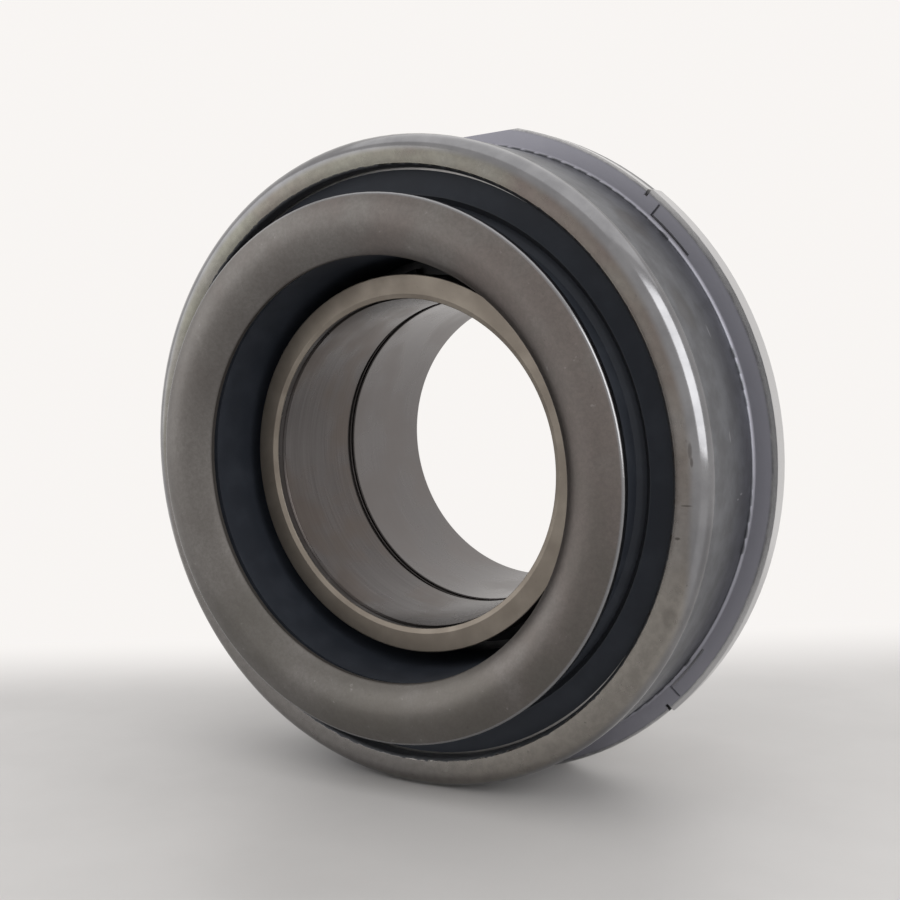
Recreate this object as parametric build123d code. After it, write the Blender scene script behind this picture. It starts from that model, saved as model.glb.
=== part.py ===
from build123d import *
import os
from math import pi, sin, sqrt, tan

os.makedirs("parts", exist_ok=True)

# Self-aligning clutch release bearing, in millimetres.
# The axis is Y, the contact ring faces -Y and Z is up. The origin lies on the axis, in the
# plane where the release fork pushes. A station is a distance forward of that plane, so
# station s lies at y = -s. The radii grow outwards from the bore, piece by piece.

# Guide sleeve
bore_radius = 15.5
sleeve_wall = 2.26
sleeve_nose = 11.95             # sleeve in front of the fork face
sleeve_tail = 13.95             # sleeve behind the fork face
tail_step = 0.85                # shoulder that the carrier plate is pushed against
grease_groove_back = 0.4        # groove's middle, behind the fork face
grease_groove_width = 0.7
grease_groove_depth = 0.4
lead_in = 1.0                   # broad chamfer at the front of the bore
lead_in_length = 0.8
relief_width = 0.6              # shallow relief between the broad chamfer and the bore
relief_depth = 0.15
edge_break = 0.3                # small chamfer on turned edges

# Carrier plate and snap ring
plate_thickness = 1.0
plate_seat_depth = 0.3          # recess in the plate's rear for the sleeve's shoulder
plate_seat_margin = 0.2
dish_clearance = 0.05           # fork face behind the folded ears
dish_margin = 0.15              # dish to the ends of the folded ears
snap_ring_width = 1.0
snap_ring_height = 1.85
snap_groove_depth = 0.45
snap_ring_gap = 24.0            # degrees left open
snap_clearance = 0.05           # snap ring to the bottom of its groove

# Radial stack of the ball bearing
align_gap = 1.69                # sleeve to inner dust sleeve, taken up when it centres itself
dust_sleeve_wall = 0.45
race_wall = 1.11                # metal left under the ball grooves
ball_diameter = 6.0
ball_count = 16
groove_clearance = 0.09         # ball to groove
thrust_land_rise = 1.59         # height of the shoulders that carry the thrust
relief_land_rise = 0.89         # height of the opposite shoulders
cover_gap = 0.6                 # outer race to cover wall, the room it floats in

# Axial stack of the ball bearing
wave_height = 2.3               # wave washer as fitted
wave_sheet = 0.45
wave_count = 4
slide_washer_thickness = 1.0
slide_clearance = 0.05
ball_to_shield = 0.1
cage_to_seal = 0.18
washer_width = 3.3
washer_clearance = 0.6          # wave washer to cover wall

# Contact face on the inner race
contact_overhang = 0.62         # inner edge of the face, inside the race's bore
contact_width = 5.32
contact_stand = 4.15            # crest of the face in front of the cover
contact_crest_share = 0.53      # where the crest lies across the face
contact_inner_drop = 1.4        # crest to inner edge
contact_outer_drop = 0.55       # crest to outer edge
contact_edge = 0.72             # thickness of the free outer edge
contact_round = 0.25            # front corner of the free outer edge
neck_radius = 2.3               # hollow behind the free edge
contact_land = 0.4

# Cover
cover_sheet = 1.15
lip_width = 1.82
lip_drop = 0.15                 # lip edge behind the crest of the rolled shoulder
lip_round = 0.35                # front corner of the lip's edge
lip_clearance = 0.1
shoulder_radius = 1.7
foot_radius = 0.35
flange_width = 1.95
ear_rise = 0.25                 # ears stand out past the rest of the flange
ear_half_angle = 47.0
ear_sheet = 0.9
ear_hook = 2.2                  # how far the ear is folded in behind the plate
ear_round = 0.2                 # front corner of the ear
ear_bend = 1.0                  # outside of the fold
ear_clearance = 0.1
notch_width = 0.35              # relief cuts at the ends of the ears
notch_depth = 0.6
groove_start = 35.0             # pressed grooves near the ears' ends, in degrees from the middle
groove_end = 44.4
groove_width = 0.25
groove_depth = 0.25
groove_reach = 1.25             # how far a groove's end turns outwards
flat_rise = 0.65                # flats stand this far outside the cover wall

# Seals and cage
seal_rim = 2.2
seal_seat_depth = 1.3
seal_seat_rise = 0.6
seal_recess = 0.45
seal_web = 0.6
seal_lip_width = 0.75
seal_lip_forward = 0.7
seal_core_sheet = 0.3
seal_clearance = 0.1
shield_sheet = 0.4
shield_seat_depth = 0.5
shield_seat_rise = 0.7
cage_clearance = 0.4            # cage to the shoulders of both races
cage_back = 0.6                 # cage in front of the pockets
cage_claw = 0.9                 # cage behind the ball centres
pocket_clearance = 0.12

# Radii that follow from the stack
sleeve_radius = bore_radius + sleeve_wall
tail_radius = sleeve_radius + tail_step
dust_sleeve_radius = sleeve_radius + align_gap
race_bore = dust_sleeve_radius + dust_sleeve_wall
ball_radius = ball_diameter / 2
groove_radius = ball_radius + groove_clearance
inner_root = race_bore + race_wall
pitch_radius = inner_root + groove_radius
outer_root = pitch_radius + groove_radius
outer_race_radius = outer_root + race_wall
inner_thrust_land = inner_root + thrust_land_rise
inner_relief_land = inner_root + relief_land_rise
outer_thrust_land = outer_root - thrust_land_rise
outer_relief_land = outer_root - relief_land_rise
cover_inner_radius = outer_race_radius + cover_gap
cover_radius = cover_inner_radius + cover_sheet
lip_radius = cover_inner_radius - lip_width
flange_radius = cover_radius + flange_width
ear_radius = flange_radius + ear_rise
flat_height = cover_radius + flat_rise
contact_inner = race_bore - contact_overhang
contact_outer = contact_inner + contact_width

# Stations that follow from the stack
dish_depth = ear_sheet + dish_clearance
rim_front = dish_depth + plate_thickness
flange_front = rim_front + cover_sheet
washer_rear = plate_thickness + wave_height
washer_front = washer_rear + slide_washer_thickness
race_rear = washer_front + slide_clearance
ball_station = race_rear + shield_seat_depth + ball_to_shield + ball_radius
cage_front = ball_station + ball_radius + pocket_clearance + cage_back
race_front = cage_front + cage_to_seal + seal_seat_depth
lip_station = race_front + lip_clearance + cover_sheet
cover_crest = lip_station + lip_drop
contact_crest = cover_crest + contact_stand


def spot(radius, station):
    """Point of a turned section: radius to the right, stations downwards."""
    return (radius, -station)


def turned(*lines, corner=None, radius=0.0):
    """Ring swept round the axis by a closed section, with one corner rounded where it is given."""
    section = make_face(Wire(Curve() + list(lines)))
    if corner:
        section = fillet(section.vertices().sort_by_distance((*corner, 0))[0], radius)
    return revolve(section, Axis.Y)


def band(inner, outer, rear, front):
    """Section of a plain ring, between two radii and two stations."""
    return Pos((inner + outer) / 2, -(rear + front) / 2) * Rectangle(outer - inner, front - rear)


def ring(inner, outer, rear, front, chamfers=0.0):
    """Plain ring, with its four edges broken where a chamfer is given."""
    section = band(inner, outer, rear, front)
    if chamfers:
        section = chamfer(section.vertices(), chamfers)
    return revolve(section, Axis.Y)


def ear_sectors(section, half_angle):
    """The section swept through the right-hand and the left-hand ear's angle."""
    right = Rot(0, -half_angle, 0) * revolve(section, Axis.Y, 2 * half_angle)
    return right + Rot(0, 180, 0) * right


def half_chord(radius):
    """Half the width of a ball groove where it meets a shoulder of this radius."""
    return sqrt(groove_radius**2 - (pitch_radius - radius) ** 2)


def ball_groove(root, front_land, rear_land):
    """Groove arc between two shoulders, through its root."""
    return ThreePointArc(
        spot(front_land, ball_station + half_chord(front_land)),
        spot(root, ball_station),
        spot(rear_land, ball_station - half_chord(rear_land)),
    )


def make_guide_sleeve():
    """Turned tube that slides on the gearbox nose, with a shoulder behind the plate."""
    relief_front = sleeve_nose - lead_in_length
    relief_rear = relief_front - relief_width
    body = turned(
        Polyline(
            spot(bore_radius, relief_rear),
            spot(bore_radius + relief_depth, relief_rear),
            spot(bore_radius + relief_depth, relief_front),
            spot(bore_radius + lead_in, sleeve_nose),
            spot(sleeve_radius - edge_break, sleeve_nose),
            spot(sleeve_radius, sleeve_nose - edge_break),
            spot(sleeve_radius, plate_seat_depth),
            spot(tail_radius, plate_seat_depth),
            spot(tail_radius, edge_break - sleeve_tail),
            spot(tail_radius - edge_break, -sleeve_tail),
            spot(bore_radius + edge_break, -sleeve_tail),
            spot(bore_radius, edge_break - sleeve_tail),
            close=True,
        )
    )
    groove = ring(
        bore_radius - grease_groove_depth,
        bore_radius + grease_groove_depth,
        -grease_groove_back - grease_groove_width / 2,
        -grease_groove_back + grease_groove_width / 2,
    )
    snap_groove = ring(
        sleeve_radius - snap_groove_depth,
        sleeve_radius + snap_groove_depth,
        plate_thickness,
        plate_thickness + snap_ring_width,
    )
    return body - groove - snap_groove


def make_snap_ring():
    """Split ring in the sleeve's groove, which holds the plate on its shoulder."""
    inner = sleeve_radius - snap_groove_depth + snap_clearance
    full = ring(inner, inner + snap_ring_height, plate_thickness, plate_thickness + snap_ring_width)
    reach = inner + 2 * snap_ring_height
    gap_section = band(inner / 2, reach, 0, flange_front + snap_ring_width)
    gap = Rot(0, -90 - snap_ring_gap / 2, 0) * revolve(gap_section, Axis.Y, snap_ring_gap)
    return full - gap


def cut_flats(body):
    """The body between the two flats, at the top and the bottom."""
    reach = 4 * ear_radius
    return body & Box(reach, reach, 2 * flat_height)


def make_carrier_plate():
    """Plate that the fork pushes, dished so that its fork face lies behind the folded ears."""
    seat_radius = tail_radius + plate_seat_margin
    rim_inner = ear_radius - ear_hook - dish_margin
    dish_radius = rim_inner - dish_depth
    bend_shift = plate_thickness * tan(pi / 8)
    disc = turned(
        Polyline(
            spot(sleeve_radius, plate_seat_depth),
            spot(seat_radius, plate_seat_depth),
            spot(seat_radius, 0),
            spot(dish_radius, 0),
            spot(rim_inner, dish_depth),
            spot(flange_radius, dish_depth),
            spot(flange_radius, rim_front),
            spot(rim_inner - bend_shift, rim_front),
            spot(dish_radius - bend_shift, plate_thickness),
            spot(sleeve_radius, plate_thickness),
            close=True,
        )
    )
    ear_seat = ear_radius - ear_sheet - ear_clearance
    seat_angle = ear_half_angle + notch_width / flange_radius * 180 / pi
    sides = band(ear_seat, 2 * ear_radius, 0, flange_front)
    return cut_flats(disc) - ear_sectors(sides, seat_angle)


def cover_section():
    """Outline of the sheet: lip, shoulder, wall, foot and flange, then back along the inside."""
    shoulder_x = cover_radius - shoulder_radius
    shoulder = spot(shoulder_x, cover_crest - shoulder_radius)
    foot = spot(cover_radius + foot_radius, flange_front + foot_radius)
    lip_front = spot(lip_radius, lip_station)
    lip_rear = spot(lip_radius, lip_station - cover_sheet)
    inner_crest = spot(shoulder_x, cover_crest - cover_sheet)
    return [
        TangentArc(spot(shoulder_x, cover_crest), lip_front, tangent=(-1, 0)),
        CenterArc(shoulder, shoulder_radius, -90, 90),
        Line(
            spot(cover_radius, cover_crest - shoulder_radius),
            spot(cover_radius, flange_front + foot_radius),
        ),
        CenterArc(foot, foot_radius, 180, -90),
        Polyline(
            spot(cover_radius + foot_radius, flange_front),
            spot(flange_radius, flange_front),
            spot(flange_radius, rim_front),
            spot(cover_radius + foot_radius, rim_front),
        ),
        CenterArc(foot, foot_radius + cover_sheet, 180, -90),
        Line(
            spot(cover_inner_radius, flange_front + foot_radius),
            spot(cover_inner_radius, cover_crest - shoulder_radius),
        ),
        CenterArc(shoulder, shoulder_radius - cover_sheet, -90, 90),
        TangentArc(inner_crest, lip_rear, tangent=(-1, 0)),
        Line(lip_rear, lip_front),
    ]


def ear_section():
    """Section of an ear: out past the flange, round the plate's edge and in behind it."""
    root = ear_radius - ear_hook
    inner = ear_radius - ear_sheet
    hook = make_face(
        Polyline(
            spot(root, flange_front),
            spot(ear_radius, flange_front),
            spot(ear_radius, dish_clearance),
            spot(root, dish_clearance),
            spot(root, dish_depth),
            spot(inner, dish_depth),
            spot(inner, rim_front),
            spot(root, rim_front),
            close=True,
        )
    )
    front_corner, rear_corner = hook.vertices().group_by(Axis.X)[-1].sort_by(Axis.Y)
    hook = fillet(rear_corner, ear_bend)
    front_corner = hook.vertices().group_by(Axis.X)[-1].sort_by(Axis.Y)[0]
    return fillet(front_corner, ear_round)


def ear_grooves():
    """Angled grooves in the flange, along its foot near each end of both ears and then outwards."""
    inner = cover_radius + foot_radius
    rear, front = flange_front - groove_depth, flange_front + groove_depth
    section = band(inner, inner + groove_width, rear, front)
    along = revolve(section, Axis.Y, groove_end - groove_start)
    outwards = Pos(inner + groove_reach / 2, -flange_front, 0) * Box(
        groove_reach, 2 * groove_depth, groove_width
    )
    grooves = []
    for side in (0, 180):
        grooves.append(Rot(0, side + groove_start, 0) * along)
        grooves.append(Rot(0, side - groove_end, 0) * along)
        grooves.append(Rot(0, side + groove_end, 0) * outwards)
        grooves.append(Rot(0, side - groove_end, 0) * outwards)
    return grooves


def make_cover():
    """Pressed cover that holds the bearing against the plate, crimped by two long ears."""
    sheet = make_face(Wire(Curve() + cover_section()))
    lip_corner = sheet.vertices().sort_by_distance((lip_radius, -lip_station, 0))[0]
    shell = cut_flats(revolve(fillet(lip_corner, lip_round), Axis.Y))
    shell += ear_sectors(ear_section(), ear_half_angle)
    notch_angle = ear_half_angle + notch_width / flange_radius * 90 / pi
    notch_radius = flange_radius - notch_depth
    notch = Pos(notch_radius + ear_radius / 2, 0, 0) * Box(ear_radius, 4 * flange_front, notch_width)
    for angle in (notch_angle, -notch_angle, 180 - notch_angle, 180 + notch_angle):
        shell -= Rot(0, angle, 0) * notch
    for groove in ear_grooves():
        shell -= groove
    return shell


def wavy_rim(radius, height):
    """Closed curve round the axis whose station rises and falls once for each wave."""
    swing = (wave_height - wave_sheet) / 2 - slide_clearance / 2
    middle = plate_thickness + wave_height / 2 + height
    steps = 12 * wave_count
    points = []
    for step in range(steps):
        turn = 360 * step / steps
        station = middle + swing * sin(wave_count * turn * pi / 180)
        points.append(Vector(radius, -station, 0).rotate(Axis.Y, turn))
    return Spline(*points, periodic=True)


def make_wave_washer():
    """Wavy spring washer between the plate and the slide washer."""
    outer = cover_inner_radius - washer_clearance
    inner = outer - washer_width
    half = wave_sheet / 2
    rims = [
        wavy_rim(inner, -half),
        wavy_rim(outer, -half),
        wavy_rim(outer, half),
        wavy_rim(inner, half),
    ]
    sides = []
    for first, second in zip(rims, rims[1:] + rims[:1]):
        sides.append(Face.make_surface_from_curves(first.edge(), second.edge()))
    return Solid(Shell(sides))


def make_slide_washer():
    """Flat washer that the outer race slides on when it centres itself."""
    return ring(outer_race_radius - washer_width, outer_race_radius, washer_rear, washer_front)


def make_outer_race():
    """Still race: high shoulder behind the balls, seats for the seal and the shield."""
    seal_seat = outer_relief_land + seal_seat_rise
    shield_seat = outer_thrust_land + shield_seat_rise
    seal_step = race_front - seal_seat_depth
    shield_step = race_rear + shield_seat_depth
    return turned(
        ball_groove(outer_root, outer_relief_land, outer_thrust_land),
        Polyline(
            spot(outer_thrust_land, ball_station - half_chord(outer_thrust_land)),
            spot(outer_thrust_land, shield_step),
            spot(shield_seat, shield_step),
            spot(shield_seat, race_rear),
            spot(outer_race_radius - edge_break, race_rear),
            spot(outer_race_radius, race_rear + edge_break),
            spot(outer_race_radius, race_front - 2 * edge_break),
            spot(outer_race_radius - 2 * edge_break, race_front),
            spot(seal_seat, race_front),
            spot(seal_seat, seal_step),
            spot(outer_relief_land, seal_step),
            spot(outer_relief_land, ball_station + half_chord(outer_relief_land)),
        ),
    )


def make_contact_race():
    """Turning race, with the convex face that the clutch fingers press formed on its front."""
    crest_radius = contact_inner + contact_crest_share * contact_width
    inner_edge = contact_crest - contact_inner_drop
    outer_edge = contact_crest - contact_outer_drop
    land_foot = inner_edge - contact_land
    neck_station = outer_edge - contact_edge - neck_radius
    return turned(
        ball_groove(inner_root, inner_thrust_land, inner_relief_land),
        Polyline(
            spot(inner_relief_land, ball_station - half_chord(inner_relief_land)),
            spot(inner_relief_land, race_rear + edge_break),
            spot(inner_relief_land - edge_break, race_rear),
            spot(race_bore, race_rear),
            spot(race_bore, land_foot - contact_overhang),
            spot(contact_inner, land_foot),
            spot(contact_inner, inner_edge),
        ),
        ThreePointArc(
            spot(contact_inner, inner_edge),
            spot(crest_radius, contact_crest),
            spot(contact_outer, outer_edge),
        ),
        Line(spot(contact_outer, outer_edge), spot(contact_outer, outer_edge - contact_edge)),
        RadiusArc(
            spot(contact_outer, outer_edge - contact_edge),
            spot(inner_thrust_land, neck_station),
            neck_radius,
        ),
        Line(
            spot(inner_thrust_land, neck_station),
            spot(inner_thrust_land, ball_station + half_chord(inner_thrust_land)),
        ),
        corner=spot(contact_outer, outer_edge),
        radius=contact_round,
    )


def make_dust_sleeve():
    """Rubber sleeve that lines the turning race."""
    front = contact_crest - contact_inner_drop - contact_land - contact_overhang
    return ring(dust_sleeve_radius, race_bore, race_rear + edge_break, front)


def make_seal_core():
    """Steel washer that stiffens the front seal, with its edge turned forwards."""
    outer = outer_relief_land + seal_seat_rise - seal_core_sheet
    inner = inner_thrust_land + seal_clearance + seal_lip_width + seal_core_sheet
    rear = race_front - seal_seat_depth
    front = race_front - seal_core_sheet
    disc = band(inner, outer, rear, rear + seal_core_sheet)
    edge = band(outer - seal_core_sheet, outer, rear, front)
    return revolve(disc + edge, Axis.Y)


def make_front_seal(core):
    """Rubber seal: flat outer rim, sunken web and a lip that stands round the turning race."""
    outer = outer_relief_land + seal_seat_rise
    rear = race_front - seal_seat_depth
    sunken = race_front - seal_recess
    lip_inner = inner_thrust_land + seal_clearance
    lip_outer = lip_inner + seal_lip_width
    body = turned(
        Polyline(
            spot(outer, rear),
            spot(outer, race_front),
            spot(outer - seal_rim, race_front),
            spot(outer - seal_rim - seal_core_sheet, sunken),
            spot(lip_outer + seal_lip_width, rear + seal_web),
            spot(lip_outer, race_front - seal_recess / 2),
            spot(lip_inner + seal_lip_width / 2, race_front + seal_lip_forward),
            spot(lip_inner, race_front + seal_lip_forward),
            spot(lip_inner, race_front - seal_recess),
            spot(lip_inner + seal_lip_width / 2, rear),
            close=True,
        )
    )
    return body - core


def make_rear_shield():
    """Thin steel shield pressed into the back of the outer race."""
    outer = outer_thrust_land + shield_seat_rise
    rear = race_rear + shield_seat_depth - shield_sheet
    return ring(inner_relief_land + seal_clearance, outer, rear, rear + shield_sheet)


def ball_places():
    """Ball centres on the pitch circle, the first one at the top."""
    places = []
    for number in range(ball_count):
        angle = 360 * number / ball_count
        places.append(Rot(0, angle, 0) * Pos(0, -ball_station, pitch_radius))
    return places


def make_ball_cage():
    """Crown cage: a ring with a round pocket for each ball, open to the rear."""
    body = ring(
        inner_thrust_land + cage_clearance,
        outer_thrust_land - cage_clearance,
        ball_station - cage_claw,
        cage_front,
    )
    for place in ball_places():
        body -= place * Sphere(ball_radius + pocket_clearance)
    return body


def save(shape, node):
    export_step(shape, "parts/" + node + ".step")


def main():
    core = make_seal_core()
    save(make_guide_sleeve(), "guide_sleeve")
    save(make_carrier_plate(), "carrier_plate")
    save(make_snap_ring(), "snap_ring")
    save(make_cover(), "cover")
    save(make_wave_washer(), "wave_washer")
    save(make_slide_washer(), "slide_washer")
    save(make_outer_race(), "outer_race")
    save(core, "seal_core")
    save(make_front_seal(core), "front_seal")
    save(make_rear_shield(), "rear_shield")
    save(make_contact_race(), "contact_race")
    save(make_dust_sleeve(), "inner_dust_sleeve")
    save(make_ball_cage(), "ball_cage")
    for number, place in enumerate(ball_places(), start=1):
        save(place * Sphere(ball_radius), f"ball_{number:02d}")


main()
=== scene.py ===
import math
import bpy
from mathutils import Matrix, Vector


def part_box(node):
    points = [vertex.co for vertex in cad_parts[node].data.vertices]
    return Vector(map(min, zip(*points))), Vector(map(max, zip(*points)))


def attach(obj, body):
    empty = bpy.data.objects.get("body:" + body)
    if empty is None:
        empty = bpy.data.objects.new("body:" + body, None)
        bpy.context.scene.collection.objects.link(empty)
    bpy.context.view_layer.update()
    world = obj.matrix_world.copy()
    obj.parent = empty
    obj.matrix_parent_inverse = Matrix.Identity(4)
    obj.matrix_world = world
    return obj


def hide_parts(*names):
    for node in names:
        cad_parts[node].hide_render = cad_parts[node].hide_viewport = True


bl_info = {
    "name": "Clutch release bearing",
    "version": (1, 0, 0),
    "blender": (4, 5, 0),
    "location": "3D View > Sidebar > Bearing",
    "description": "Finishes the surfaces of a self-aligning clutch release bearing",
    "category": "Object",
}

import bpy
import numpy as np
from mathutils import Matrix, Vector

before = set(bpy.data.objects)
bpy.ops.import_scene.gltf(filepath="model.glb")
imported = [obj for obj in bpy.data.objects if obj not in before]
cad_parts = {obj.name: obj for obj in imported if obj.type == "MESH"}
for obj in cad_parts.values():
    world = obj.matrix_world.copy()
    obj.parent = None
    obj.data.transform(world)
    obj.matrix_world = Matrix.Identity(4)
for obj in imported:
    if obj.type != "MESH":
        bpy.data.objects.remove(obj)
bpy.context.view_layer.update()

# The axis is Y and the contact ring faces -Y. Radii and stations are in millimetres here, and
# a station is a distance forward of the plane where the fork pushes.
MILLIMETRE = 0.001

# The bearing stands on the flange's lower flat and on the front of the cover's wall.
FLAT_RISE = 0.65 * MILLIMETRE
FLANGE_FRONT = 3.1 * MILLIMETRE
WALL_FRONT = 12.85 * MILLIMETRE

# The cover's outside: centres of the arcs of its shoulder, lip and foot as radius and station, the
# arcs' sizes, the start of the lip's rounded corner, and how closely a surface must follow them.
SHOULDER_CENTRE = (28.35, 12.85)
SHOULDER_SIZE = 1.7
LIP_CENTRE = 9.1
LIP_CORNER = 27.45
FOOT_CENTRE = (30.4, 3.45)
FOOT_SIZE = 0.35
OUTLINE_SLACK = 0.06
FOOT_SLACK = 0.32

# The foot of the wall: a fine ring over the CAD's coarse fillet, with its back sunk in the steel.
# Each corner has its radius, station and rounding.
FOOT_CORNERS = (
    (29.7, 4.6, 0.0),
    (30.04, 4.5, 0.0),
    (30.068, 3.9, 0.0),
    (30.068, 3.115, 0.3),
    (30.41, 3.115, 0.0),
    (30.44, 3.05, 0.0),
    (29.7, 2.8, 0.0),
)

# Small marks on the cover: place, half sizes along X, Y and Z, and strength.
DARK_MARKS = (
    ((28.2, -14.45, -2.65), (0.5, 1.0, 0.06), 0.8),
    ((28.65, -14.4, 1.7), (0.16, 1.0, 0.7), 0.5),
    ((28.75, -14.4, 0.8), (0.12, 1.0, 0.4), 0.6),
    ((26.4, -14.45, -11.9), (0.7, 1.0, 0.9), 0.2),
    ((27.35, -14.45, -5.3), (0.25, 1.0, 0.12), 0.8),
    ((27.2, -10.5, 12.8), (1.5, 1.6, 2.2), 0.45),
    ((22.0, -8.0, 20.5), (2.0, 2.4, 2.0), 0.5),
)
LIGHT_MARKS = (
    ((29.9, -6.0, -2.9), (1.0, 0.3, 0.1), 0.6),
    ((29.85, -6.8, -3.25), (1.0, 0.2, 0.08), 0.6),
    ((29.9, -8.6, 2.2), (1.0, 0.12, 0.5), 0.4),
    ((28.0, -7.2, 10.9), (1.0, 0.12, 0.6), 0.4),
)

# Turned pieces: steps round the axis, points on each rounded corner, and how far beside it a
# further ring of points keeps the flat faces flat.
LATHE_STEPS = 256
ARC_POINTS = 6
SUPPORT = 0.03

# The grease groove in the sleeve's bore, between two stations, and the radius of its bottom.
GROOVE_REAR = -1.0
GROOVE_FRONT = -0.05
GROOVE_BOTTOM = 15.9

# The sleeve's outline: radius, station and rounding of each corner.
SLEEVE_CORNERS = (
    (15.5, -13.95, 0.25),
    (18.61, -13.95, 0.25),
    (18.61, 0.3, 0.0),
    (17.76, 0.3, 0.0),
    (17.76, 1.0, 0.0),
    (17.31, 1.0, 0.0),
    (17.31, 2.0, 0.0),
    (17.76, 2.0, 0.0),
    (17.76, 11.95, 0.12),
    (15.95, 11.95, 0.1),
    (15.48, 11.74, 0.08),
    (15.66, 11.35, 0.1),
    (15.66, 10.8, 0.1),
    (15.5, 10.6, 0.1),
    (15.5, GROOVE_FRONT, 0.1),
    (GROOVE_BOTTOM, GROOVE_FRONT, 0.2),
    (GROOVE_BOTTOM, GROOVE_REAR, 0.2),
    (15.5, GROOVE_REAR, 0.1),
)

# The flange's front: radii between which its dull, lightened finish ends and the painted highlight on
# its edge starts.
FLANGE_FADE = (31.9, 31.6)
RIM_HIGHLIGHT_FADE = (31.85, 32.1)

# The stage: half the floor's width and the places along it, in metres; its sheen; where the floor
# melts into the background, as distances from the bearing and along the way away from the camera.
FLOOR_REACH = 1.6
FLOOR_LINES = 41
SHEEN_SHARE = 0.15
SHEEN_ROUGHNESS = 0.42
FLOOR_SPOTS = 0.93
FADE_AROUND = (0.09, 0.18)
FADE_BEHIND = (0.02, 0.06)
AWAY = (-0.53, 0.85, 0.0)

# The light all round, and each lamp's name, place and size.
WORLD_COLOUR = (0.98, 0.99, 1.0)
WORLD_STRENGTH = 0.66
LAMPS = (
    ("key_lamp", (0.02, 0.07, 0.5), (0.8, 0.8)),
    ("side_lamp", (0.45, -0.10, 0.16), (0.4, 0.4)),
    ("fill_lamp", (-0.38, -0.28, 0.14), (0.4, 0.4)),
)

# The camera's right and back directions.
CAMERA_RIGHT = (0.8503, 0.5230, -0.0584)
CAMERA_BACK = (0.5263, -0.8451, 0.0944)


class Nodes:
    """Wires the nodes of one material or world."""

    def __init__(self, tree):
        self.tree = tree
        tree.nodes.clear()

    def add(self, kind, inputs=(), output=0, **settings):
        """A new node with its settings and inputs; gives back one of its output sockets."""
        node = self.tree.nodes.new(kind)
        for name, value in settings.items():
            setattr(node, name, value)
        for key, value in dict(inputs).items():
            socket = node.inputs[key]
            if isinstance(value, bpy.types.NodeSocket):
                self.tree.links.new(value, socket)
            elif socket.type == "RGBA":
                socket.default_value = (*value, 1.0)[:4]
            else:
                socket.default_value = value
        return node.outputs[output] if len(node.outputs) else node

    def math(self, operation, first, second=0.0, third=0.0):
        """Sum, product or comparison of up to three numbers."""
        return self.add("ShaderNodeMath", {0: first, 1: second, 2: third}, operation=operation)

    def ramp(self, value, start, end, low=0.0, high=1.0):
        """Smooth step of a value from start to end."""
        return self.add(
            "ShaderNodeMapRange",
            {0: value, 1: start, 2: end, 3: low, 4: high},
            interpolation_type="SMOOTHSTEP",
        )

    def band(self, value, low, high, soft):
        """One between low and high, falling to nothing within the soft distance outside."""
        rise = self.ramp(value, low - soft, low)
        fall = self.ramp(value, high, high + soft, 1.0, 0.0)
        return self.math("MULTIPLY", rise, fall)

    def noise(self, vector, scale, detail=2.0, roughness=0.5):
        """Cloudy pattern between nothing and one."""
        return self.add(
            "ShaderNodeTexNoise",
            {"Vector": vector, "Scale": scale, "Detail": detail, "Roughness": roughness},
        )

    def mix(self, share, first, second):
        """Colour between two colours."""
        return self.add(
            "ShaderNodeMix", {0: share, 6: first, 7: second}, output=2, data_type="RGBA"
        )

    def between(self, share, first, second):
        """Number between two numbers."""
        return self.add("ShaderNodeMix", {0: share, 2: first, 3: second})

    def vector(self, x, y, z):
        """Vector of three numbers."""
        return self.add("ShaderNodeCombineXYZ", {0: x, 1: y, 2: z})


class Turned(Nodes):
    """Nodes of a material on a turned piece: radius, station and direction round the axis."""

    def __init__(self, name):
        self.material = bpy.data.materials.get(name) or bpy.data.materials.new(name)
        self.material.use_nodes = True
        super().__init__(self.material.node_tree)
        place = self.add("ShaderNodeTexCoord", output=3)
        self.place = self.add(
            "ShaderNodeVectorMath", {0: place, 3: 1 / MILLIMETRE}, operation="SCALE"
        )
        flat = self.add(
            "ShaderNodeVectorMath", {0: self.place, 1: (1.0, 0.0, 1.0)}, operation="MULTIPLY"
        )
        self.radius = self.add("ShaderNodeVectorMath", {0: flat}, output=1, operation="LENGTH")
        direction = self.add("ShaderNodeVectorMath", {0: flat}, operation="NORMALIZE")
        parts = self.tree.nodes.new("ShaderNodeSeparateXYZ")
        self.tree.links.new(self.place, parts.inputs[0])
        self.station = self.math("MULTIPLY", parts.outputs[1], -1.0)
        parts = self.tree.nodes.new("ShaderNodeSeparateXYZ")
        self.tree.links.new(direction, parts.inputs[0])
        self.across, self.height = parts.outputs[0], parts.outputs[2]

    def around(self, along, fineness, wander, detail=2.0):
        """Pattern that runs round the axis: fine along a length, slow round the axis."""
        vector = self.vector(
            self.math("MULTIPLY", along, fineness),
            self.math("MULTIPLY", self.across, wander),
            self.math("MULTIPLY", self.height, wander),
        )
        return self.noise(vector, 1.0, detail=detail, roughness=0.6)

    def bump(self, height, strength, distance, **normal):
        """Surface relief; the distance is in millimetres."""
        return self.add(
            "ShaderNodeBump",
            {"Height": height, "Strength": strength, "Distance": distance * MILLIMETRE, **normal},
        )

    def mark(self, place, reach):
        """One inside an ellipsoid about a place, fading over its outer part."""
        away = self.add("ShaderNodeVectorMath", {0: self.place, 1: place}, operation="SUBTRACT")
        away = self.add("ShaderNodeVectorMath", {0: away, 1: reach}, operation="DIVIDE")
        away = self.add("ShaderNodeVectorMath", {0: away}, output=1, operation="LENGTH")
        return self.ramp(away, 1.2, 0.6)

    def surface(self, **values):
        """Ends the material with its shader."""
        inputs = {key.replace("_", " "): value for key, value in values.items()}
        shader = self.add("ShaderNodeBsdfPrincipled", inputs)
        self.add("ShaderNodeOutputMaterial", {"Surface": shader})
        return self.material


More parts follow.
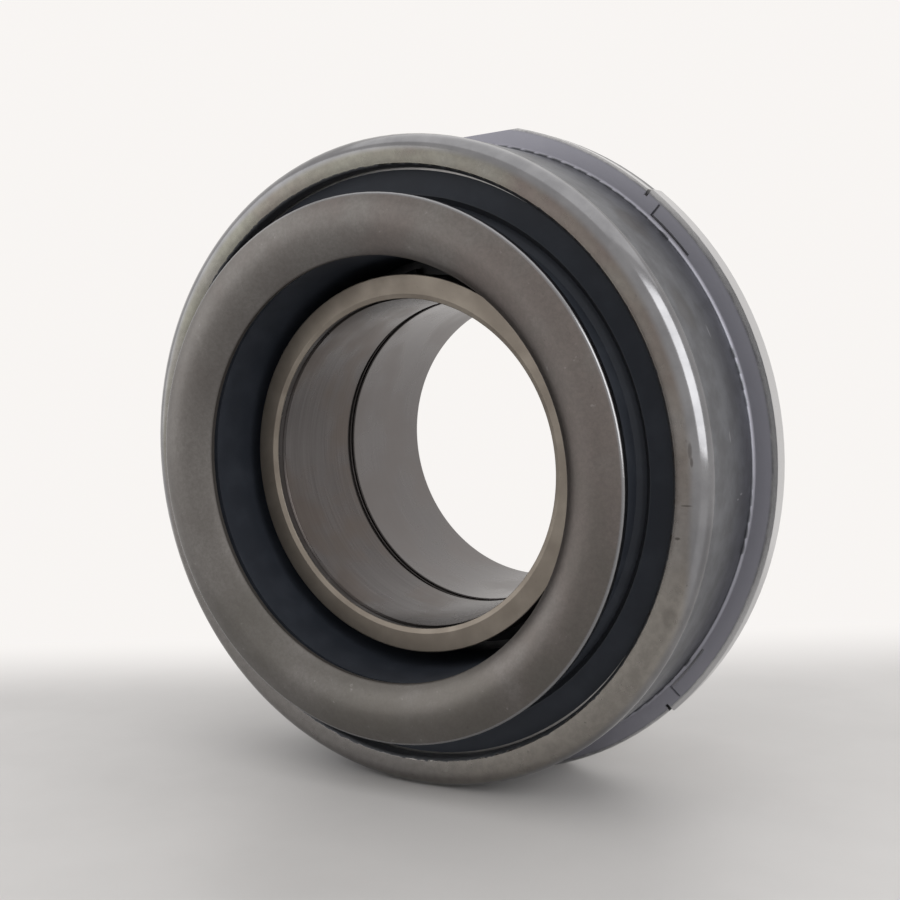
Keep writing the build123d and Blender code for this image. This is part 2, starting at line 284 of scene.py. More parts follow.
def soft_outline(corners):
    """Closed outline of radius and station, with an arc of its own rounding at each corner.

    The arc touches both sides of the corner, and its points turn evenly about its centre.
    """
    outline = []
    for number, (radius, station, rounding) in enumerate(corners):
        here = np.array((radius, station))
        if not rounding:
            outline.append(here)
            continue
        ends = (number - 1) % len(corners), (number + 1) % len(corners)
        sides = [np.array(corners[end][:2]) - here for end in ends]
        back, ahead = (side / np.linalg.norm(side) for side in sides)
        half = math.acos(float(back @ ahead)) / 2
        middle = (back + ahead) / np.linalg.norm(back + ahead)
        centre = here + middle * rounding / math.sin(half)
        reach = rounding / math.tan(half)
        start, end = (here + side * reach - centre for side in (back, ahead))
        sweep = math.pi - 2 * half
        outline.append(here + back * (reach + SUPPORT))
        for share in np.linspace(0.0, 1.0, ARC_POINTS):
            turn = math.sin((1 - share) * sweep) * start + math.sin(share * sweep) * end
            outline.append(centre + turn / math.sin(sweep))
        outline.append(here + ahead * (reach + SUPPORT))
    return np.array(outline)


def lathe(name, corners):
    """Turned piece: x = radius * cos(turn), y = -station and z = radius * sin(turn).

    The outline of radius and station goes all the way round the axis.
    """
    outline = soft_outline(corners) * MILLIMETRE
    turn = np.linspace(0.0, 2 * math.pi, LATHE_STEPS, endpoint=False)
    radius, station = (part[:, None] + 0 * turn for part in outline.T)
    points = np.stack([radius * np.cos(turn), -station, radius * np.sin(turn)], axis=-1)
    number = np.arange(points[..., 0].size).reshape(radius.shape)
    along, round_axis = np.roll(number, -1, axis=0), np.roll(number, -1, axis=1)
    across = np.roll(along, -1, axis=1)
    faces = np.stack([number, round_axis, across, along], axis=-1)
    data = bpy.data.meshes.new(name)
    data.from_pydata(points.reshape(-1, 3).tolist(), [], faces.reshape(-1, 4).tolist())
    data.shade_smooth()
    data.set_sharp_from_angle(angle=math.radians(35))
    piece = bpy.data.objects.new(name, data)
    bpy.context.scene.collection.objects.link(piece)
    return piece


def sleeve_steel(look):
    """Sintered sleeve: speckled front face, bore polished round the axis, darker rings in the bore.
    """
    m = Turned("sleeve_steel")
    bore_radius = look.bore_radius / MILLIMETRE
    front = look.front / MILLIMETRE
    bore = m.ramp(m.station, front - 0.2, front - 0.4)
    bore = m.math("MULTIPLY", bore, m.ramp(m.radius, bore_radius + 0.6, bore_radius + 0.5))
    grain = m.noise(m.place, 5.0, detail=3.0, roughness=0.7)
    pores = m.ramp(m.noise(m.place, 2.6, detail=4.0, roughness=0.7), 0.36, 0.24)
    clouds = m.noise(m.place, 0.32, detail=3.0)
    marks = m.around(m.station, 4.0, 1.2)
    face = m.mix(m.ramp(clouds, 0.3, 0.7), look.colour, look.shade)
    face = m.mix(m.math("MULTIPLY", pores, 0.6), face, look.pore)
    polished = m.mix(m.ramp(marks, 0.3, 0.7), look.bore_colour, look.bore_shade)
    smear = m.ramp(m.noise(m.place, 0.18, detail=2.0), 0.4, 0.65)
    # Lighter bore behind the grease groove.
    behind_groove = m.ramp(m.station, 0.0, -1.0)
    polished = m.mix(m.math("MULTIPLY", smear, 0.7), polished, look.bore_tint)
    polished = m.mix(m.math("MULTIPLY", behind_groove, 0.6), polished, look.bore_rear)
    # Darker in a ring behind the front face and in the grease groove.
    dark_rings = m.band(m.station, front - look.dark_end, front - look.dark_start, 0.12)
    groove = m.band(m.station, GROOVE_REAR, GROOVE_FRONT, 0.3)
    dark_rings = m.math("MULTIPLY", m.math("MAXIMUM", dark_rings, groove), bore)
    colour = m.mix(bore, face, polished)
    colour = m.mix(m.math("MULTIPLY", dark_rings, 0.8), colour, look.pore)
    rough = m.math("MULTIPLY_ADD", clouds, 0.12, 0.36)
    rough = m.math("MULTIPLY_ADD", bore, -0.17, rough)
    rough = m.math("MULTIPLY_ADD", m.math("MULTIPLY", smear, bore), 0.1, rough)
    relief = m.between(bore, grain, marks)
    return m.surface(
        Base_Color=colour,
        Metallic=1.0,
        Roughness=rough,
        Normal=m.bump(relief, m.math("MULTIPLY_ADD", bore, -0.22, 0.25), 0.008),
    )


def contact_steel(look):
    """Ground contact face: satin warm grey, finely grained, browner on the right, polished edge with
    a painted highlight.
    """
    m = Turned("contact_steel")
    fine = m.noise(m.place, 8.0, detail=3.0, roughness=0.7)
    grain = m.noise(m.place, 3.5, detail=4.0, roughness=0.7)
    clouds = m.noise(m.place, 0.16, detail=3.0, roughness=0.5)
    smears = m.around(m.radius, 0.8, 3.0)
    outer_edge, inner_edge = look.edge_radius / MILLIMETRE, look.inner_radius / MILLIMETRE
    edge = m.ramp(m.radius, outer_edge - 0.28, outer_edge - 0.12)
    inner = m.ramp(m.radius, inner_edge + 0.12, inner_edge + 0.02)
    tint = m.ramp(m.math("MULTIPLY_ADD", m.across, 0.25, clouds), 0.35, 0.8)
    olive = m.ramp(m.math("MULTIPLY_ADD", m.height, -0.25, clouds), 0.5, 0.85)
    colour = m.mix(m.ramp(clouds, 0.3, 0.7), look.colour, look.shade)
    colour = m.mix(m.math("MULTIPLY", tint, 0.8), colour, look.tint)
    colour = m.mix(m.math("MULTIPLY", olive, 0.7), colour, look.olive)
    mottle = m.noise(m.place, 1.3, detail=4.0, roughness=0.65)
    colour = m.mix(m.math("MULTIPLY", m.ramp(mottle, 0.66, 0.34), 0.22), colour, look.speck)
    colour = m.mix(m.math("MULTIPLY", m.ramp(grain, 0.62, 0.36), 0.32), colour, look.speck)
    speck = m.ramp(m.noise(m.place, 1.8, detail=3.0, roughness=0.6), 0.3, 0.24)
    colour = m.mix(m.math("MULTIPLY", speck, 0.5), colour, look.speck)
    fleck = m.ramp(m.noise(m.place, 1.3, detail=3.0, roughness=0.6), 0.68, 0.76)
    colour = m.mix(m.math("MULTIPLY", fleck, 0.3), colour, look.fleck)
    # Painted highlight: the polished outer edge is painted lighter than the face.
    colour = m.mix(edge, colour, look.edge_highlight_colour)
    colour = m.mix(m.math("MULTIPLY", inner, 0.6), colour, look.speck)
    rough = m.math("MULTIPLY_ADD", smears, 0.12, 0.26)
    rough = m.math("MULTIPLY_ADD", grain, 0.12, rough)
    rough = m.math("MULTIPLY_ADD", edge, -0.18, rough)
    rough = m.math("MULTIPLY_ADD", inner, 0.2, rough)
    relief = m.math("MULTIPLY_ADD", grain, 1.4, fine)
    return m.surface(
        Base_Color=colour,
        Metallic=1.0,
        Roughness=rough,
        Normal=m.bump(relief, 0.3, 0.01),
    )


def outline_normal(m):
    """Exact normal of the cover's outside, from the lip to the flange; elsewhere the mesh's own.

    On an arc it points from the arc's centre to the surface, or back to the centre on the hollow
    foot. The wall and the flange's front carry on from the arcs that they meet.
    """
    on_lip = m.math("LESS_THAN", m.radius, SHOULDER_CENTRE[0])
    past_shoulder = m.math("MAXIMUM", m.math("SUBTRACT", m.station, SHOULDER_CENTRE[1]), 0.0)
    past_lip = m.math("SUBTRACT", m.station, LIP_CENTRE)
    forward = m.between(on_lip, past_shoulder, past_lip)
    outward = m.math("SUBTRACT", m.radius, SHOULDER_CENTRE[0])
    size = m.between(on_lip, SHOULDER_SIZE, SHOULDER_CENTRE[1] + SHOULDER_SIZE - LIP_CENTRE)
    rear = m.math("LESS_THAN", m.station, 2 * FOOT_CENTRE[1])
    inward = m.math("MAXIMUM", m.math("SUBTRACT", FOOT_CENTRE[0], m.radius), 0.0)
    behind = m.math("MAXIMUM", m.math("SUBTRACT", FOOT_CENTRE[1], m.station), 0.0)
    outward = m.between(rear, outward, inward)
    forward = m.between(rear, forward, behind)
    size = m.between(rear, size, FOOT_SIZE)
    vector = m.vector(
        m.math("MULTIPLY", m.across, outward),
        m.math("MULTIPLY", forward, -1.0),
        m.math("MULTIPLY", m.height, outward),
    )
    length = m.add("ShaderNodeVectorMath", {0: vector}, output=1, operation="LENGTH")
    slack = m.between(rear, OUTLINE_SLACK, FOOT_SLACK)
    outside = m.math("COMPARE", m.math("DIVIDE", length, size), 1.0, slack)
    outside = m.math("MULTIPLY", outside, m.math("GREATER_THAN", m.radius, LIP_CORNER))
    exact = m.add(
        "ShaderNodeVectorTransform",
        {0: vector},
        vector_type="NORMAL",
        convert_from="OBJECT",
        convert_to="WORLD",
    )
    own = m.add("ShaderNodeNewGeometry", output=1)
    return m.add("ShaderNodeMix", {0: outside, 4: own, 5: exact}, output=1, data_type="VECTOR")


def cover_steel(look):
    """Pressed cover: satin lip, bright rolled shoulder, dull mottled wall, marks of the press, a
    flange front painted lighter and a painted highlight on the flange's edge.
    """
    m = Turned("cover_steel")
    clouds = m.noise(m.place, 0.4, detail=4.0, roughness=0.6)
    blotches = m.noise(m.place, 0.14, detail=3.0)
    grain = m.noise(m.place, 5.0, detail=3.0, roughness=0.65)
    marks = m.around(m.station, 1.8, 5.0)
    nicks = m.noise(m.place, 1.1, detail=3.0, roughness=0.7)
    wall_end, lip_end = look.wall_end / MILLIMETRE, look.lip_end / MILLIMETRE
    foot, lip_edge = look.foot / MILLIMETRE, look.lip_edge / MILLIMETRE
    wall = m.band(m.station, foot, wall_end, 0.3)
    low = m.ramp(m.height, -0.1, -0.45)
    lip = m.ramp(m.math("MULTIPLY_ADD", low, -1.1, m.radius), lip_end + 0.4, lip_end - 0.3)
    flange = m.band(m.station, foot - 0.35, foot - 0.15, 0.15)
    flange = m.math("MULTIPLY", flange, m.ramp(m.radius, *FLANGE_FADE))
    ragged = m.math("MULTIPLY_ADD", nicks, -0.5, m.radius)
    under = m.ramp(ragged, lip_edge + 0.04, lip_edge - 0.06)
    olive = m.ramp(m.math("MULTIPLY_ADD", m.height, 0.25, blotches), 0.35, 0.75)
    brown = m.math("MULTIPLY_ADD", m.height, 0.12, m.math("MULTIPLY_ADD", m.across, 0.22, blotches))
    brown = m.ramp(brown, 0.5, 0.9)
    # Olive towards the top, brown towards the right and lighter at the lower right of the lip.
    lip_tone = m.mix(brown, m.mix(olive, look.lip_colour, look.lip_shade), look.lip_brown)
    lip_tone = m.mix(m.math("MULTIPLY", low, m.ramp(m.across, -0.1, 0.4)), lip_tone, look.lip_low)
    lip_tone = m.mix(m.math("MULTIPLY", m.ramp(nicks, 0.64, 0.36), 0.2), lip_tone, look.speck)
    colour = m.mix(m.ramp(clouds, 0.3, 0.7), look.colour, look.shade)
    mottle = m.mix(m.ramp(clouds, 0.32, 0.68), look.wall_colour, look.wall_shade)
    colour = m.mix(m.math("MULTIPLY", wall, 0.95), colour, mottle)
    colour = m.mix(m.math("MULTIPLY", lip, 0.9), colour, lip_tone)
    # Painted light: the flange's front is painted lighter to make up for the shade it sits in.
    colour = m.mix(m.math("MULTIPLY", flange, 0.95), colour, look.flange_lightened_colour)
    # Painted highlight: the edge of the flange and the ears is painted bright.
    rim = m.ramp(m.math("MULTIPLY_ADD", nicks, 0.3, m.radius), *RIM_HIGHLIGHT_FADE)
    colour = m.mix(rim, colour, look.rim_highlight_and_scratch_colour)
    speck = m.ramp(m.noise(m.place, 1.6, detail=3.0, roughness=0.6), 0.3, 0.22)
    colour = m.mix(m.math("MULTIPLY", speck, 0.5), colour, look.speck)
    # Light marks are light scratches, in the colour of the rim's painted highlight.
    for kind, mark_colour in ((DARK_MARKS, look.speck), (LIGHT_MARKS, look.rim_highlight_and_scratch_colour)):
        for place, reach, strength in kind:
            colour = m.mix(m.math("MULTIPLY", m.mark(place, reach), strength), colour, mark_colour)
    colour = m.mix(under, colour, look.under_colour)
    rough = m.math("MULTIPLY_ADD", clouds, 0.12, 0.1)
    rough = m.math("MULTIPLY_ADD", wall, 0.24, rough)
    rough = m.math("MULTIPLY_ADD", lip, 0.1, rough)
    rough = m.math("MULTIPLY_ADD", flange, 0.25, rough)
    rough = m.math("MULTIPLY_ADD", under, 0.4, rough)
    relief = m.math("MULTIPLY_ADD", marks, 0.3, grain)
    return m.surface(
        Base_Color=colour,
        Metallic=1.0,
        Roughness=rough,
        Normal=m.bump(relief, 0.2, 0.01, Normal=outline_normal(m)),
    )


def plain_steel(name, colour, shade, polish=0.3):
    """Hidden steel: fine grain under soft clouds of oxide."""
    m = Turned(name)
    clouds = m.noise(m.place, 0.4, detail=4.0)
    grain = m.noise(m.place, 4.0, detail=3.0)
    colour = m.mix(m.ramp(clouds, 0.3, 0.7), colour, shade)
    rough = m.math("MULTIPLY_ADD", grain, 0.14, polish)
    return m.surface(
        Base_Color=colour, Metallic=1.0, Roughness=rough, Normal=m.bump(grain, 0.25, 0.01)
    )


def seal_rubber(look):
    """Moulded rubber: blue-black with fine dust and a faint bloom."""
    m = Turned("seal_rubber")
    grain = m.noise(m.place, 5.0, detail=3.0, roughness=0.6)
    bloom = m.noise(m.place, 0.35, detail=4.0)
    colour = m.mix(m.ramp(bloom, 0.35, 0.75), look.colour, look.shade)
    # Painted light: the seal's step is painted lighter to make up for the shade that falls on it.
    step = m.band(m.radius, look.step_start / MILLIMETRE, look.step_end / MILLIMETRE, 0.15)
    colour = m.mix(step, colour, look.step_light_colour)
    dust = m.ramp(grain, 0.68, 0.8)
    colour = m.mix(m.math("MULTIPLY", dust, 0.25), colour, look.dust)
    rough = m.math("MULTIPLY_ADD", bloom, 0.2, 0.5)
    return m.surface(
        Base_Color=colour,
        Roughness=rough,
        Specular_IOR_Level=0.28,
        Normal=m.bump(grain, 0.25, 0.015),
    )


def cage_plastic(look):
    """Moulded cage: glass-filled, pale and slightly grained."""
    m = Turned("cage_plastic")
    grain = m.noise(m.place, 2.5, detail=4.0, roughness=0.6)
    colour = m.mix(m.ramp(grain, 0.3, 0.7), look.colour, look.shade)
    rough = m.math("MULTIPLY_ADD", grain, 0.2, 0.4)
    return m.surface(Base_Color=colour, Roughness=rough, Normal=m.bump(grain, 0.2, 0.015))


def paint(names, material):
    """Puts a material on every slot of the named CAD nodes."""
    for name in names:
        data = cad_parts[name].data
        for number in range(max(1, len(data.materials))):
            if number < len(data.materials):
                data.materials[number] = material
            else:
                data.materials.append(material)


def colour_value(name, default, text):
    """A colour that the user may change."""
    return bpy.props.FloatVectorProperty(
        name=name, description=text, default=default, size=3, min=0.0, max=1.0, subtype="COLOR"
    )


def length_value(name, default, text):
    """A length that the user may change."""
    return bpy.props.FloatProperty(name=name, description=text, default=default, unit="LENGTH")


class SleeveLook(bpy.types.PropertyGroup):
    """Sizes and colours of the guide sleeve"""

    bore_radius: length_value("Bore radius", 0.0155, "Radius of the polished bore")
    front: length_value(
        "Front face", -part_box("guide_sleeve")[0].y, "Front face, forward of the fork face"
    )
    dark_start: bpy.props.FloatProperty(
        name="Dark ring start", description="Millimetres behind the front face", default=0.4
    )
    dark_end: bpy.props.FloatProperty(
        name="Dark ring end", description="Millimetres behind the front face", default=1.25
    )
    colour: colour_value("Face", (0.257, 0.229, 0.195), "Front face and outside")
    shade: colour_value("Face shade", (0.203, 0.178, 0.151), "Darker clouds on the face")
    pore: colour_value("Pores", (0.039, 0.035, 0.034), "Pores and darker rings in the bore")
    bore_colour: colour_value("Bore", (0.113, 0.106, 0.105), "Polished bore")
    bore_shade: colour_value("Bore marks", (0.09, 0.083, 0.082), "Turning marks in the bore")
    bore_tint: colour_value("Bore tint", (0.117, 0.098, 0.087), "Warm smears in the bore")
    bore_rear: colour_value("Rear bore", (0.195, 0.187, 0.187), "Bore behind the grease groove")


class ContactLook(bpy.types.PropertyGroup):
    """Sizes and colours of the contact race"""

    edge_radius: length_value("Outer edge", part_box("contact_race")[1].x, "Radius of the outer edge")
    inner_radius: length_value("Inner edge", 0.01928, "Radius of the inner edge")
    colour: colour_value("Face", (0.172, 0.164, 0.157), "Ground contact face")
    shade: colour_value("Shade", (0.145, 0.136, 0.13), "Darker clouds")
    tint: colour_value("Tint", (0.154, 0.133, 0.125), "Brown tint on the right")
    olive: colour_value("Olive", (0.123, 0.119, 0.108), "Olive tint at the bottom")
    speck: colour_value("Specks", (0.101, 0.093, 0.087), "Fine dark specks")
    fleck: colour_value("Flecks", (0.328, 0.32, 0.312), "Fine light flecks")
    edge_highlight_colour: colour_value("Edge", (0.218, 0.218, 0.226), "Polished outer edge, painted lighter as a highlight")


class CoverLook(bpy.types.PropertyGroup):
    """Sizes and colours of the cover"""

    foot: length_value("Foot of the wall", 0.0033, "Where the wall ends, forward of the fork face")
    wall_end: length_value("End of the wall", 0.0128, "Where the rolled shoulder starts")
    lip_end: length_value("End of the lip", 0.0286, "Radius where the lip meets the shoulder")
    lip_edge: length_value("Edge of the lip", 0.02708, "Radius of the lip's inner edge")
    colour: colour_value("Shoulder", (0.226, 0.226, 0.234), "Bright rolled shoulder and rims")
    shade: colour_value("Shade", (0.187, 0.187, 0.195), "Darker clouds")
    wall_colour: colour_value("Wall", (0.137, 0.143, 0.156), "Dull blue-grey wall")
    wall_shade: colour_value("Wall shade", (0.097, 0.1, 0.108), "Darker mottling on the wall")
    # Painted highlight on the flange's edge; also the colour of light scratches.
    rim_highlight_and_scratch_colour: colour_value("Rim", (0.484, 0.484, 0.491), "Painted highlight on the edge of the flange and the ears, and light scratches")
    # Painted light: lighter than the steel, to make up for the flange front's shade.
    flange_lightened_colour: colour_value("Flange", (0.328, 0.328, 0.374), "Front of the flange, painted lighter against the shade it sits in")
    lip_colour: colour_value("Lip", (0.215, 0.204, 0.195), "Lip")
    lip_shade: colour_value("Olive", (0.207, 0.203, 0.17), "Olive tint on the lip")
    lip_brown: colour_value("Brown", (0.156, 0.129, 0.117), "Brown tint on the right of the lip")
    lip_low: colour_value("Low lip", (0.269, 0.251, 0.226), "Lighter lower right of the lip")
    under_colour: colour_value("Under the lip", (0.086, 0.09, 0.098), "Dark edge beside the seal")
    speck: colour_value("Specks", (0.062, 0.056, 0.051), "Small dark specks")


class HiddenLook(bpy.types.PropertyGroup):
    """Colours of the races, balls, washers and snap ring"""

    colour: colour_value("Steel", (0.32, 0.315, 0.31), "Races and balls")
    shade: colour_value("Shade", (0.26, 0.255, 0.25), "Darker clouds")
    oxide: colour_value("Oxide", (0.045, 0.045, 0.048), "Black finish of washers and snap ring")
    oxide_shade: colour_value("Oxide shade", (0.03, 0.03, 0.032), "Darker clouds of the oxide")


class PlateLook(bpy.types.PropertyGroup):
    """Colours of the carrier plate, shield and seal core"""

    colour: colour_value("Plate", (0.2, 0.2, 0.208), "Carrier plate, shield and seal core")
    shade: colour_value("Shade", (0.155, 0.155, 0.162), "Darker clouds")


class RubberLook(bpy.types.PropertyGroup):
    """Sizes and colours of the rubber"""

    step_start: length_value("Step start", 0.0243, "Radius at the foot of the seal's step")
    step_end: length_value("Step end", 0.0247, "Radius at the top of the seal's step")
    step_light_colour: colour_value("Step", (0.036, 0.04, 0.048), "Step between web and rim, painted lighter against its shade")
    colour: colour_value("Rubber", (0.023, 0.027, 0.036), "Front seal and dust sleeve")
    shade: colour_value("Bloom", (0.032, 0.037, 0.048), "Faint bloom")
    dust: colour_value("Dust", (0.05, 0.05, 0.05), "Fine dust")


class CageLook(bpy.types.PropertyGroup):
    """Colours of the cage"""

    colour: colour_value("Cage", (0.62, 0.57, 0.44), "Moulded cage")
    shade: colour_value("Shade", (0.52, 0.47, 0.35), "Darker grain")


class StageSet(bpy.types.PropertyGroup):
    """Camera, floor, background and lamps"""

    lens: bpy.props.FloatProperty(
        name="Focal length", description="Camera lens", default=45.72, unit="CAMERA"
    )
    eye: bpy.props.FloatVectorProperty(
        name="Camera place",
        description="Where the camera stands",
        default=(0.05972, -0.09979, 0.01131),
        size=3,
        subtype="TRANSLATION",
    )
    floor_colour: colour_value("Floor", (0.60, 0.58, 0.565), "Pale floor")
    background: colour_value("Background", (0.94, 0.915, 0.895), "Pale background")
    key_power: bpy.props.FloatProperty(
        name="Key lamp", description="Soft lamp above", default=1.1, unit="POWER"
    )
    side_power: bpy.props.FloatProperty(
        name="Side lamp", description="Soft lamp on the right", default=1.4, unit="POWER"
    )
    fill_power: bpy.props.FloatProperty(
        name="Fill lamp", description="Soft lamp on the left", default=0.45, unit="POWER"
    )


class FinishSleeve(bpy.types.Operator):
    """Guide sleeve with soft edges, a speckled face and a polished bore"""

    bl_idname = "bearing.finish_sleeve"
    bl_label = "Finish guide sleeve"

    def execute(self, context):
        steel = sleeve_steel(context.scene.bearing_sleeve)
        paint(["guide_sleeve"], steel)
        piece = lathe("turned_sleeve", SLEEVE_CORNERS)
        piece.data.materials.append(steel)
        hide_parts("guide_sleeve")
        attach(piece, "carrier")
        return {"FINISHED"}


class FinishContactRace(bpy.types.Operator):
    """Satin ground steel on the contact race"""

    bl_idname = "bearing.finish_contact_race"
    bl_label = "Finish contact race"

    def execute(self, context):
        paint(["contact_race"], contact_steel(context.scene.bearing_contact))
        return {"FINISHED"}


class FinishCover(bpy.types.Operator):
    """Pressed steel on the cover"""

    bl_idname = "bearing.finish_cover"
    bl_label = "Finish cover"

    def execute(self, context):
        steel = cover_steel(context.scene.bearing_cover)
        paint(["cover"], steel)
        piece = lathe("wall_foot", FOOT_CORNERS)
        piece.data.materials.append(steel)
        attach(piece, "carrier")
        return {"FINISHED"}


class FinishPlate(bpy.types.Operator):
    """Dark pressed steel on the carrier plate, the rear shield and the seal core"""

    bl_idname = "bearing.finish_plate"
    bl_label = "Finish carrier plate"

    def execute(self, context):
        look = context.scene.bearing_plate
        steel = plain_steel("plate_steel", look.colour, look.shade, polish=0.34)
        paint(["carrier_plate", "rear_shield", "seal_core"], steel)
        return {"FINISHED"}


class FinishRubber(bpy.types.Operator):
    """Rubber on the front seal and the inner dust sleeve"""

    bl_idname = "bearing.finish_rubber"
    bl_label = "Finish rubber"

    def execute(self, context):
        paint(["front_seal", "inner_dust_sleeve"], seal_rubber(context.scene.bearing_rubber))
        return {"FINISHED"}


class FinishInside(bpy.types.Operator):
    """Steel and plastic on the races, balls, washers, snap ring and cage"""

    bl_idname = "bearing.finish_inside"
    bl_label = "Finish inside"

    def execute(self, context):
        look = context.scene.bearing_hidden
        washers = ["slide_washer", "wave_washer", "snap_ring"]
        balls = [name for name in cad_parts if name[:5] == "ball_" and name[5:].isdigit()]
        paint(["outer_race"], plain_steel("bearing_steel", look.colour, look.shade, polish=0.24))
        paint(washers, plain_steel("oxide_steel", look.oxide, look.oxide_shade, polish=0.4))
        paint(sorted(balls), plain_steel("ball_steel", look.colour, look.shade, polish=0.08))
        paint(["ball_cage"], cage_plastic(context.scene.bearing_cage))
        return {"FINISHED"}


def floor_height(along):
    """Height of the floor under the flange's flat and the cover's wall, at a place along Y."""
    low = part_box("cover")[0]
    slope = FLAT_RISE / (WALL_FRONT - FLANGE_FRONT)
    return low.z - slope * (along + FLANGE_FRONT)


def make_floor(stage):
    """Flat sheet z = height + slope * y over a square, with a finer grid near the bearing."""
    share = np.linspace(-1.0, 1.0, FLOOR_LINES)
    line = np.sign(share) * np.abs(share) ** 2.0 * FLOOR_REACH
    x, y = np.meshgrid(line, line, indexing="ij")
    points = np.stack([x, y, floor_height(y)], axis=-1).reshape(-1, 3)
    count = len(line)
    corner = (np.arange(count - 1)[:, None] * count + np.arange(count - 1)[None, :]).ravel()
    faces = np.stack([corner, corner + count, corner + count + 1, corner + 1], axis=-1)
    data = bpy.data.meshes.new("floor")
    data.from_pydata(points.tolist(), [], faces.tolist())
    data.materials.append(floor_material(stage))
    floor = bpy.data.objects.new("floor", data)
    bpy.context.scene.collection.objects.link(floor)


def shown_rays(n):
    """One for camera, glossy and transmission rays, which all show the pale background."""
    path = n.tree.nodes.new("ShaderNodeLightPath")
    clear = n.math("MAXIMUM", path.outputs["Is Camera Ray"], path.outputs["Is Transmission Ray"])
    return n.math("MAXIMUM", clear, path.outputs["Is Glossy Ray"])


def floor_material(stage):
    """Pale floor that keeps the shadow near the bearing and melts into the background."""
    material = bpy.data.materials.new("floor")
    material.use_nodes = True
    n = Nodes(material.node_tree)
    place = n.add("ShaderNodeTexCoord", output=3)
    clouds = n.noise(place, 30.0, detail=5.0, roughness=0.6)
    spots = [FLOOR_SPOTS * part for part in stage.floor_colour]
    colour = n.mix(n.ramp(clouds, 0.35, 0.7), stage.floor_colour, spots)
    far = n.add("ShaderNodeVectorMath", {0: place}, output=1, operation="LENGTH")
    behind = n.add("ShaderNodeVectorMath", {0: place, 1: AWAY}, output=1, operation="DOT_PRODUCT")
    seen = shown_rays(n)
    plain = n.add("ShaderNodeBsdfDiffuse", {"Color": colour})
    sheen = {"Color": (0.9, 0.9, 0.9), "Roughness": SHEEN_ROUGHNESS}
    sheen = n.add("ShaderNodeBsdfAnisotropic", sheen)
    plain = n.add("ShaderNodeMixShader", {0: SHEEN_SHARE, 1: plain, 2: sheen})
    pale = n.add("ShaderNodeEmission", {"Color": stage.background, "Strength": 1.0})
    fade = n.math("MAXIMUM", n.ramp(far, *FADE_AROUND), n.ramp(behind, *FADE_BEHIND))
    shader = n.add("ShaderNodeMixShader", {0: n.math("MULTIPLY", fade, seen), 1: plain, 2: pale})
    n.add("ShaderNodeOutputMaterial", {"Surface": shader})
    return material


def make_world(stage):
    """Plain soft light all round, and the pale background where the surroundings are seen."""
    world = bpy.data.worlds.new("studio")
    world.use_nodes = True
    bpy.context.scene.world = world
    n = Nodes(world.node_tree)
    seen = shown_rays(n)
    light = {"Color": WORLD_COLOUR, "Strength": WORLD_STRENGTH}
    light = n.add("ShaderNodeBackground", light)
    pale = n.add("ShaderNodeBackground", {"Color": stage.background, "Strength": 1.0})
    shader = n.add("ShaderNodeMixShader", {0: seen, 1: light, 2: pale})
    n.add("ShaderNodeOutputWorld", {"Surface": shader})


def soft_lamp(name, place, size, power):
    """Rectangular lamp that faces the bearing, and that the steel mirrors."""
    data = bpy.data.lights.new(name, "AREA")
    data.shape = "RECTANGLE"
    data.size, data.size_y = size
    data.energy = power
    lamp = bpy.data.objects.new(name, data)
    turn = Vector(place).to_track_quat("Z", "Y").to_matrix().to_4x4()
    lamp.matrix_world = Matrix.Translation(place) @ turn
    bpy.context.scene.collection.objects.link(lamp)


def make_camera(stage):
    """Camera at the angle of the photograph."""
    data = bpy.data.cameras.new("camera")
    data.sensor_width = 36.0
    data.lens = stage.lens
    data.clip_start, data.clip_end = 0.005, 20.0
    camera = bpy.data.objects.new("camera", data)
    right = Vector(CAMERA_RIGHT).normalized()
    back = Vector(CAMERA_BACK)
    back = (back - right * back.dot(right)).normalized()
    turn = Matrix((right, back.cross(right), back)).transposed().to_4x4()
    camera.matrix_world = Matrix.Translation(stage.eye) @ turn
    bpy.context.scene.collection.objects.link(camera)
    bpy.context.scene.camera = camera


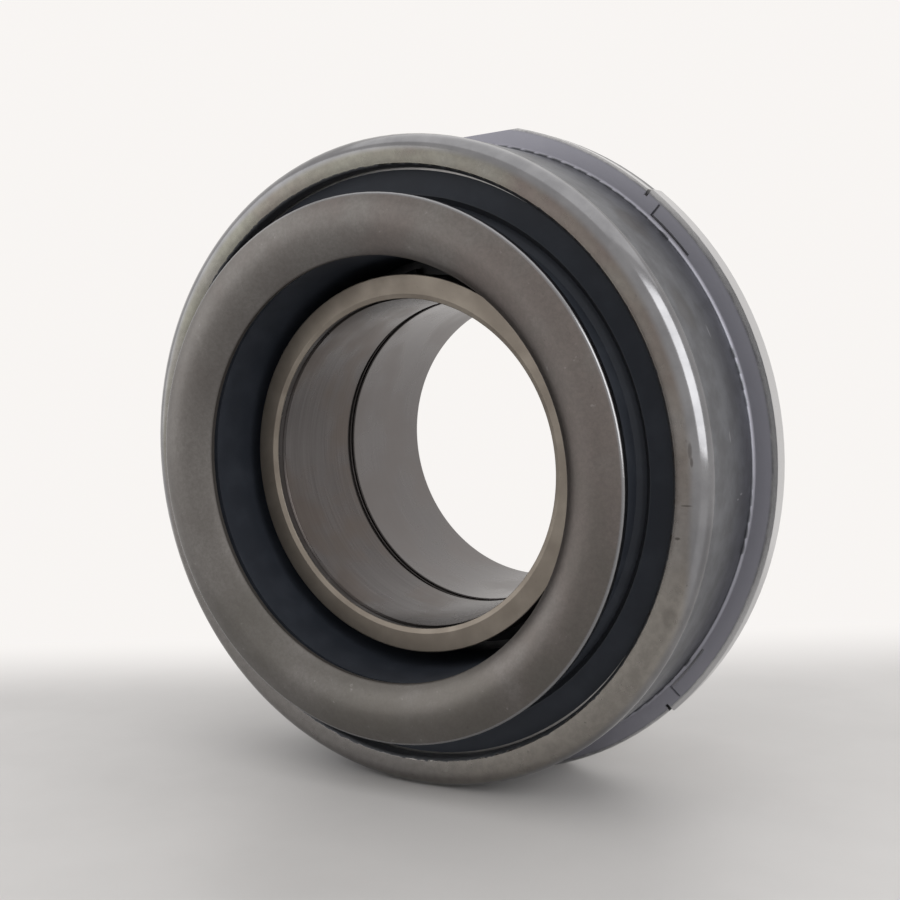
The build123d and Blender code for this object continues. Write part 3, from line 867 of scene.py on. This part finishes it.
class BuildStage(bpy.types.Operator):
    """Pale floor, soft lamps, plain surroundings and the camera"""

    bl_idname = "bearing.build_stage"
    bl_label = "Build stage"

    def execute(self, context):
        stage = context.scene.bearing_stage
        context.scene.view_settings.view_transform = "Standard"
        make_floor(stage)
        make_world(stage)
        powers = (stage.key_power, stage.side_power, stage.fill_power)
        for (name, place, size), power in zip(LAMPS, powers):
            soft_lamp(name, place, size, power)
        make_camera(stage)
        return {"FINISHED"}


STEPS = (
    FinishSleeve,
    FinishContactRace,
    FinishCover,
    FinishPlate,
    FinishRubber,
    FinishInside,
    BuildStage,
)
LOOKS = {
    "bearing_sleeve": SleeveLook,
    "bearing_contact": ContactLook,
    "bearing_cover": CoverLook,
    "bearing_hidden": HiddenLook,
    "bearing_plate": PlateLook,
    "bearing_rubber": RubberLook,
    "bearing_cage": CageLook,
    "bearing_stage": StageSet,
}


class BearingPanel(bpy.types.Panel):
    """Lists the finishing steps of the bearing"""

    bl_idname = "VIEW3D_PT_bearing"
    bl_label = "Clutch release bearing"
    bl_space_type = "VIEW_3D"
    bl_region_type = "UI"
    bl_category = "Bearing"

    def draw(self, context):
        for step in STEPS:
            self.layout.operator(step.bl_idname)
        for name, group in LOOKS.items():
            box = self.layout.box()
            box.label(text=group.__name__)
            for value in group.__annotations__:
                box.prop(getattr(context.scene, name), value)


def register():
    for kind in (*LOOKS.values(), *STEPS, BearingPanel):
        bpy.utils.register_class(kind)
    for name, group in LOOKS.items():
        setattr(bpy.types.Scene, name, bpy.props.PointerProperty(type=group))


def unregister():
    for name in LOOKS:
        delattr(bpy.types.Scene, name)
    for kind in (BearingPanel, *reversed(STEPS), *reversed(LOOKS.values())):
        bpy.utils.unregister_class(kind)


def main():
    register()
    bpy.ops.bearing.finish_sleeve()
    bpy.ops.bearing.finish_contact_race()
    bpy.ops.bearing.finish_cover()
    bpy.ops.bearing.finish_plate()
    bpy.ops.bearing.finish_rubber()
    bpy.ops.bearing.finish_inside()
    bpy.ops.bearing.build_stage()


if __name__ == "__main__":
    main()
